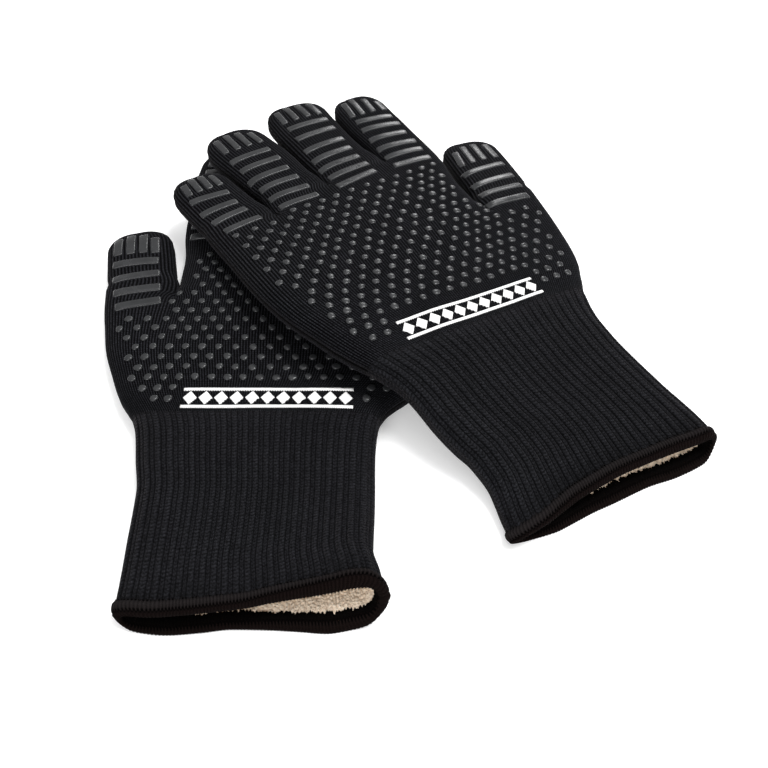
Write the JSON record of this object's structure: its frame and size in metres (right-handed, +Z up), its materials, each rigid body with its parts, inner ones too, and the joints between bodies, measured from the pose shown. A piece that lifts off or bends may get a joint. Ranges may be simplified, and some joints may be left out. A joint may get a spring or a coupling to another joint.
{
  "type": "heat resistant glove pair",
  "caption": "Pair of long-cuffed, lined knit oven and barbecue gloves with silicone grip dots and bars, one laid across the other, palms up.",
  "frame": {"origin": "centre of the pair's footprint, on the surface it lies on", "axes": "+Z up, +Y from the cuffs towards the fingertips of the lower (left-hand) glove, +X towards that glove's little finger"},
  "size_m": [0.3048, 0.3534, 0.0417],
  "materials": {
    "knit": "fine rib knit, charcoal black",
    "lining": "napped cream cotton",
    "hem": "overlocked thread, brownish black",
    "grip": "semi-gloss silicone",
    "print": "matt white print"
  },
  "bodies": {
    "left_palm": {"left_palm_shell": "knit", "left_palm_lining": "lining", "left_palm_bars": "grip", "left_palm_dots": "grip", "left_wrist_print": "print", "left_index_shell": "knit", "left_index_lining": "lining", "left_index_grip": "grip", "left_middle_shell": "knit", "left_middle_lining": "lining", "left_middle_grip": "grip", "left_ring_shell": "knit", "left_ring_lining": "lining", "left_ring_grip": "grip", "left_little_shell": "knit", "left_little_lining": "lining", "left_little_grip": "grip"},
    "left_cuff": {"left_cuff_shell": "knit", "left_cuff_lining": "lining", "left_hem": "hem"},
    "left_thumb": {"left_thumb_shell": "knit", "left_thumb_lining": "lining", "left_thumb_grip": "grip"},
    "right_palm": {"right_palm_shell": "knit", "right_palm_lining": "lining", "right_palm_bars": "grip", "right_palm_dots": "grip", "right_wrist_print": "print"},
    "right_cuff": {"right_cuff_shell": "knit", "right_cuff_lining": "lining", "right_hem": "hem"},
    "right_thumb": {"right_thumb_shell": "knit", "right_thumb_lining": "lining", "right_thumb_grip": "grip"},
    "right_index": {"right_index_shell": "knit", "right_index_lining": "lining", "right_index_grip": "grip"},
    "right_middle": {"right_middle_shell": "knit", "right_middle_lining": "lining", "right_middle_grip": "grip"},
    "right_ring": {"right_ring_shell": "knit", "right_ring_lining": "lining", "right_ring_grip": "grip"},
    "right_little": {"right_little_shell": "knit", "right_little_lining": "lining", "right_little_grip": "grip"}
  },
  "joints": [
    {"name": "left_wrist_fold", "type": "hinge", "parent": "left_palm", "child": "left_cuff", "pos_m": [-0.05574, -0.09274, 0.0155], "axis": [-1, 0, 0], "range_deg": [0, 40]},
    {"name": "left_thumb_bend", "type": "hinge", "parent": "left_palm", "child": "left_thumb", "pos_m": [-0.12822, 0.00426, 0.0145], "axis": [0.9791, 0.2033, 0], "range_deg": [0, 65]},
    {"name": "right_glove_lift", "type": "slide", "parent": "left_palm", "child": "right_palm", "axis": [0, 0, 1], "range_m": [0, 0.2]},
    {"name": "right_wrist_fold", "type": "hinge", "parent": "right_palm", "child": "right_cuff", "pos_m": [0.05761, -0.04939, 0.02902], "axis": [-0.862, -0.4977, 0.0958], "range_deg": [0, 40]},
    {"name": "right_thumb_bend", "type": "hinge", "parent": "right_palm", "child": "right_thumb", "pos_m": [0.07133, 0.06222, 0.0286], "axis": [0.9534, 0.3017, 0], "range_deg": [0, 70]},
    {"name": "right_index_bend", "type": "hinge", "parent": "right_palm", "child": "right_index", "pos_m": [0.01008, 0.11323, 0.0311], "axis": [0.8706, 0.4919, 0], "range_deg": [0, 70]},
    {"name": "right_middle_bend", "type": "hinge", "parent": "right_palm", "child": "right_middle", "pos_m": [-0.0232, 0.09494, 0.0311], "axis": [0.8242, 0.5663, 0], "range_deg": [0, 70]},
    {"name": "right_ring_bend", "type": "hinge", "parent": "right_palm", "child": "right_ring", "pos_m": [-0.05811, 0.07571, 0.0311], "axis": [0.8019, 0.5975, 0], "range_deg": [0, 70]},
    {"name": "right_little_bend", "type": "hinge", "parent": "right_palm", "child": "right_little", "pos_m": [-0.08282, 0.0432, 0.03137], "axis": [0.7939, 0.608, 0], "range_deg": [0, 70]}
  ]
}
